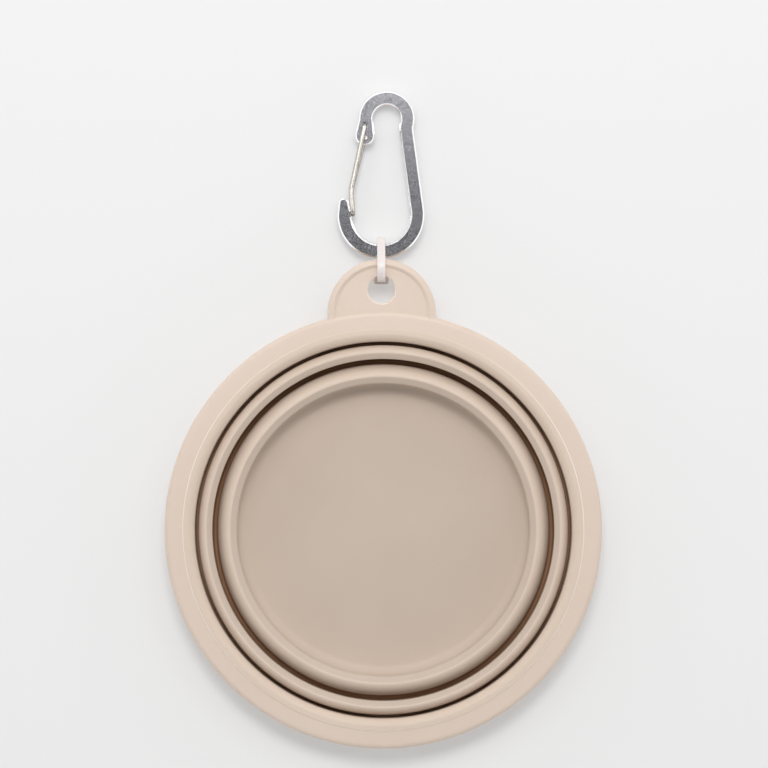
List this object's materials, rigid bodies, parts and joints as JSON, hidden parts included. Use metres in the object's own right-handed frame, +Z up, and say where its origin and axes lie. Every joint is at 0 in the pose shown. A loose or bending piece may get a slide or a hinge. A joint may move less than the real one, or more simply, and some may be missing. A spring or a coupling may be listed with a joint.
{
  "type": "collapsible bowl",
  "caption": "Round travel bowl that folds flat: a hard rim with a hanging tab, a soft body with folding rings, and a small wire-gate carabiner on a tie.",
  "frame": {"origin": "centre of the flat underside of the base", "axes": "+Z up along the axis of the bowl, +Y towards the tab and the carabiner, +X to the right in a view from above"},
  "size_m": [0.127, 0.1912, 0.0154],
  "materials": {
    "hard_rim": "smooth satin",
    "silicone": "soft matte",
    "nylon": "milky natural",
    "alloy": "brushed faces with polished bevels",
    "steel_wire": "bright drawn wire"
  },
  "bodies": {
    "base": {"base_cup": "silicone"},
    "middle_tier": {"middle_wall": "silicone", "lower_fold": "silicone"},
    "rim_tier": {"rim_frame": "hard_rim", "upper_wall": "silicone", "upper_fold": "silicone"},
    "tie": {"cable_tie": "nylon"},
    "carabiner": {"carabiner_frame": "alloy"},
    "gate": {"wire_gate": "steel_wire"}
  },
  "joints": [
    {"name": "middle_lift", "type": "slide", "parent": "base", "child": "middle_tier", "axis": [0, 0, 1], "range_m": [0, 0.019], "deforming": ["lower_fold"]},
    {"name": "rim_lift", "type": "slide", "parent": "middle_tier", "child": "rim_tier", "axis": [0, 0, 1], "range_m": [0, 0.019], "deforming": ["upper_fold"]},
    {"name": "tie_swing", "type": "hinge", "parent": "rim_tier", "child": "tie", "pos_m": [0, 0.0762, 0.0112], "axis": [1, 0, 0], "range_deg": [-34, 100]},
    {"name": "carabiner_swing", "type": "hinge", "parent": "tie", "child": "carabiner", "pos_m": [0, 0.081, 0.0043], "axis": [1, 0, 0], "range_deg": [-45, 38]},
    {"name": "gate_open", "type": "hinge", "parent": "carabiner", "child": "gate", "pos_m": [-0.00451, 0.11768, 0.00354], "axis": [0, 0.0206, 0.9998], "range_deg": [0, 25], "stiffness_Nm_per_rad": 0.04, "springref_deg": -20.05}
  ]
}
